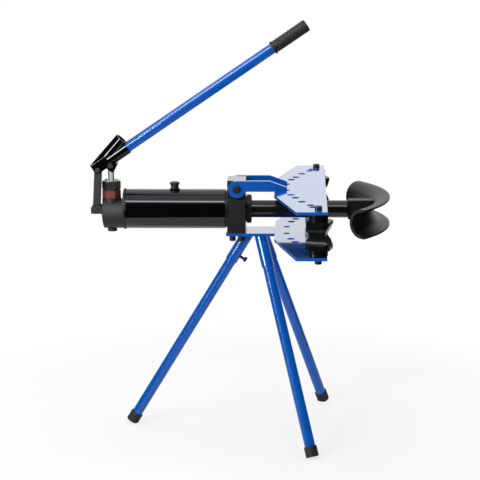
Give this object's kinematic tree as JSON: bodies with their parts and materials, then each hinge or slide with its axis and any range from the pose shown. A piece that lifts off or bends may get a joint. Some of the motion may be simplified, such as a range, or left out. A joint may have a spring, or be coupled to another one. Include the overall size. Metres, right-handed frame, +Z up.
{
  "type": "hydraulic pipe bender",
  "caption": "Tripod hydraulic pipe bender: hand pump and ram push a grooved bend former against two turning counter-blocks held between open wing plates.",
  "frame": {"origin": "on the floor, under the middle of the overall box", "axes": "+X along the ram towards the bend former, -Y towards the viewer of the picture, +Z up"},
  "size_m": [0.7964, 0.641, 1.1117],
  "materials": {
    "blue_paint": "glossy blue paint",
    "black_enamel": "gloss black enamel",
    "block_black": "satin black",
    "cast_grey": "matt dark grey casting",
    "former_cast": "blackened casting with a fine grain",
    "black_oxide": "black oxide",
    "ram_steel": "dark polished steel",
    "chrome": "polished chrome",
    "copper_plate": "copper-brown plate",
    "zinc": "bright zinc",
    "bronze": "turned bronze",
    "steel": "ground steel",
    "rubber": "matt black rubber",
    "seal": "smooth black seal rubber"
  },
  "bodies": {
    "frame": {"base_bar": "blue_paint", "lower_wing_plate": "blue_paint", "leg_socket_left": "blue_paint", "leg_socket_near": "blue_paint", "leg_socket_far": "blue_paint", "reservoir_tube": "black_enamel", "filler_boss": "black_enamel", "front_block": "block_black", "front_collar": "block_black", "ram_gland_nut": "block_black", "gland_nut": "block_black", "pump_body": "cast_grey", "rear_flange": "cast_grey", "base_bolt_1": "black_oxide", "base_bolt_2": "black_oxide", "base_bolt_3": "black_oxide", "base_bolt_4": "black_oxide", "arm_bolt_near": "black_oxide", "arm_bolt_far": "black_oxide", "drain_plug": "black_oxide", "lower_link_pin": "black_oxide", "pump_nut": "copper_plate", "gland_ring": "zinc", "gland_screw_front": "zinc", "gland_screw_rear": "zinc", "ram_guide_bush": "bronze", "pressure_tube": "steel", "return_spring": "steel", "ram_seal": "seal"},
    "ram": {"ram": "ram_steel", "piston": "steel", "piston_seal": "seal"},
    "former": {"bend_former": "former_cast"},
    "upper_frame": {"upper_wing_plate": "blue_paint", "arm_near": "blue_paint", "arm_far": "blue_paint"},
    "pin_near": {"pin_near": "black_oxide"},
    "pin_far": {"pin_far": "black_oxide"},
    "counter_block_near": {"counter_block_near": "former_cast"},
    "counter_block_far": {"counter_block_far": "former_cast"},
    "link": {"link_bar": "cast_grey"},
    "lever": {"lever_head": "black_enamel", "upper_link_pin": "black_oxide"},
    "handle": {"handle_tube": "blue_paint", "handle_grip": "rubber"},
    "plunger": {"plunger": "chrome", "plunger_pin": "black_oxide"},
    "filler_plug": {"filler_plug": "black_oxide"},
    "release_valve": {"release_valve": "black_oxide"},
    "leg_left": {"leg_tube_left": "blue_paint", "foot_left": "rubber"},
    "leg_screw_left": {"leg_screw_left": "black_oxide"},
    "leg_near": {"leg_tube_near": "blue_paint", "foot_near": "rubber"},
    "leg_screw_near": {"leg_screw_near": "black_oxide"},
    "leg_far": {"leg_tube_far": "blue_paint", "foot_far": "rubber"},
    "leg_screw_far": {"leg_screw_far": "black_oxide"}
  },
  "joints": [
    {"name": "ram_slide", "type": "slide", "parent": "frame", "child": "ram", "axis": [1, 0, 0], "range_m": [-0.2, 0]},
    {"name": "former_slide", "type": "slide", "parent": "ram", "child": "former", "axis": [1, 0, 0], "range_m": [0, 0.06]},
    {"name": "frame_swing", "type": "hinge", "parent": "frame", "child": "upper_frame", "pos_m": [-0.00675, 0, 0.6719], "axis": [0, -1, 0], "range_deg": [0, 95]},
    {"name": "pin_lift_near", "type": "slide", "parent": "frame", "child": "pin_near", "axis": [0, 0, 1], "range_m": [0, 0.16]},
    {"name": "block_turn_near", "type": "hinge", "parent": "frame", "child": "counter_block_near", "pos_m": [0.20575, -0.2895, 0.606], "axis": [0, 0, 1], "continuous": true},
    {"name": "pin_lift_far", "type": "slide", "parent": "frame", "child": "pin_far", "axis": [0, 0, 1], "range_m": [0, 0.16]},
    {"name": "block_turn_far", "type": "hinge", "parent": "frame", "child": "counter_block_far", "pos_m": [0.20575, 0.2895, 0.606], "axis": [0, 0, 1], "continuous": true},
    {"name": "link_sway", "type": "hinge", "parent": "frame", "child": "link", "pos_m": [-0.38445, 0, 0.61], "axis": [0, -1, 0], "range_deg": [0, 0.96]},
    {"name": "lever_pump", "type": "hinge", "parent": "link", "child": "lever", "pos_m": [-0.37765, 0, 0.71799], "axis": [0, -1, 0], "range_deg": [-34, 0]},
    {"name": "handle_pull", "type": "slide", "parent": "lever", "child": "handle", "axis": [0.8276, 0, 0.5614], "range_m": [0, 0.06]},
    {"name": "plunger_stroke", "type": "slide", "parent": "frame", "child": "plunger", "axis": [0, 0, 1], "range_m": [-0.0207, 0]},
    {"name": "filler_turn", "type": "hinge", "parent": "frame", "child": "filler_plug", "pos_m": [-0.17395, 0, 0.67], "axis": [0, 0, 1], "range_deg": [0, 720]},
    {"name": "valve_turn", "type": "hinge", "parent": "frame", "child": "release_valve", "pos_m": [-0.34095, 0.04, 0.5783], "axis": [0, 1, 0], "range_deg": [-540, 0]},
    {"name": "leg_pull_left", "type": "slide", "parent": "frame", "child": "leg_left", "axis": [-0.5147, 0.0369, -0.8566], "range_m": [0, 0.08]},
    {"name": "screw_turn_left", "type": "hinge", "parent": "frame", "child": "leg_screw_left", "pos_m": [-0.01399, 0.00408, 0.48705], "axis": [0.8544, -0.0612, -0.516], "range_deg": [0, 540]},
    {"name": "leg_pull_near", "type": "slide", "parent": "frame", "child": "leg_near", "axis": [0.2315, -0.3793, -0.8958], "range_m": [0, 0.08]},
    {"name": "screw_turn_near", "type": "hinge", "parent": "frame", "child": "leg_screw_near", "pos_m": [0.07016, -0.04457, 0.48438], "axis": [0.0904, 0.9253, -0.3684], "range_deg": [0, 540]},
    {"name": "leg_pull_far", "type": "slide", "parent": "frame", "child": "leg_far", "axis": [0.2833, 0.3424, -0.8958], "range_m": [0, 0.08]},
    {"name": "screw_turn_far", "type": "hinge", "parent": "frame", "child": "leg_screw_far", "pos_m": [0.07623, 0.04023, 0.48438], "axis": [-0.571, -0.6903, -0.4444], "range_deg": [0, 540]}
  ],
  "couplings": [
    {"joint": "link_sway", "follows": "lever_pump", "ratio": -0.0278},
    {"joint": "plunger_stroke", "follows": "lever_pump", "m_per_rad": 0.0346}
  ]
}
